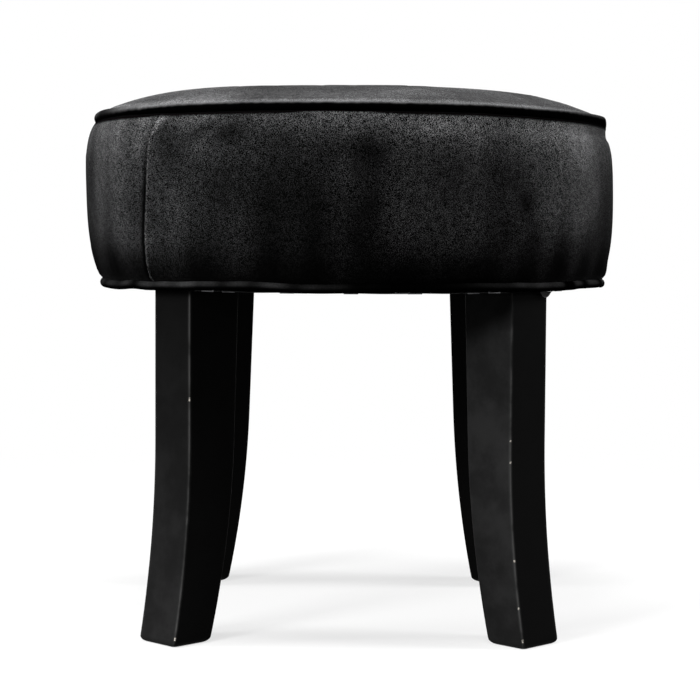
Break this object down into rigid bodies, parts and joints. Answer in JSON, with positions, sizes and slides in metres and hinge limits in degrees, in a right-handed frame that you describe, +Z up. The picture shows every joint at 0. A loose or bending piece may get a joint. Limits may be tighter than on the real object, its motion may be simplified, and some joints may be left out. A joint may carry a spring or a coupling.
{
  "type": "upholstered stool",
  "caption": "Round dressing stool with a crowned velvet box cushion, piped rims and curved wooden legs.",
  "frame": {"origin": "centre of the four feet on the floor, under the middle of the seat", "axes": "+Z up, the front faces -Y with the band's seam at its left, +X to the right"},
  "size_m": [0.4, 0.4, 0.4],
  "materials": {
    "velvet": "short-pile black velvet",
    "leg_lacquer": "satin black lacquer",
    "plywood": "raw sanded plywood",
    "pine": "planed pine",
    "hardboard": "smooth hardboard",
    "foam": "open-cell cushion foam",
    "wadding": "bonded fibre wadding",
    "piping_cord": "twisted cotton cord",
    "dust_cloth": "thin black nonwoven cloth",
    "zinc_steel": "bright zinc plating",
    "yellow_steel": "yellow zinc plating",
    "staple_wire": "galvanised wire"
  },
  "bodies": {
    "root": {"front_left_leg": "leg_lacquer", "front_right_leg": "leg_lacquer", "back_left_leg": "leg_lacquer", "back_right_leg": "leg_lacquer", "leg_bolts": "zinc_steel", "tee_nuts": "zinc_steel", "base_board": "plywood", "seat_board": "plywood", "front_post": "pine", "back_post": "pine", "left_post": "pine", "right_post": "pine", "base_board_screws": "yellow_steel", "seat_board_screws": "yellow_steel", "drum_wall": "hardboard", "wall_staples": "staple_wire", "top_foam": "foam", "side_foam": "foam", "top_wadding": "wadding", "top_panel": "velvet", "side_band": "velvet", "top_piping_sleeve": "velvet", "top_piping_cord": "piping_cord", "bottom_piping_sleeve": "velvet", "bottom_piping_cord": "piping_cord", "hem_staples": "staple_wire", "dust_cover": "dust_cloth", "dust_cover_staples": "staple_wire"}
  },
  "joints": []
}
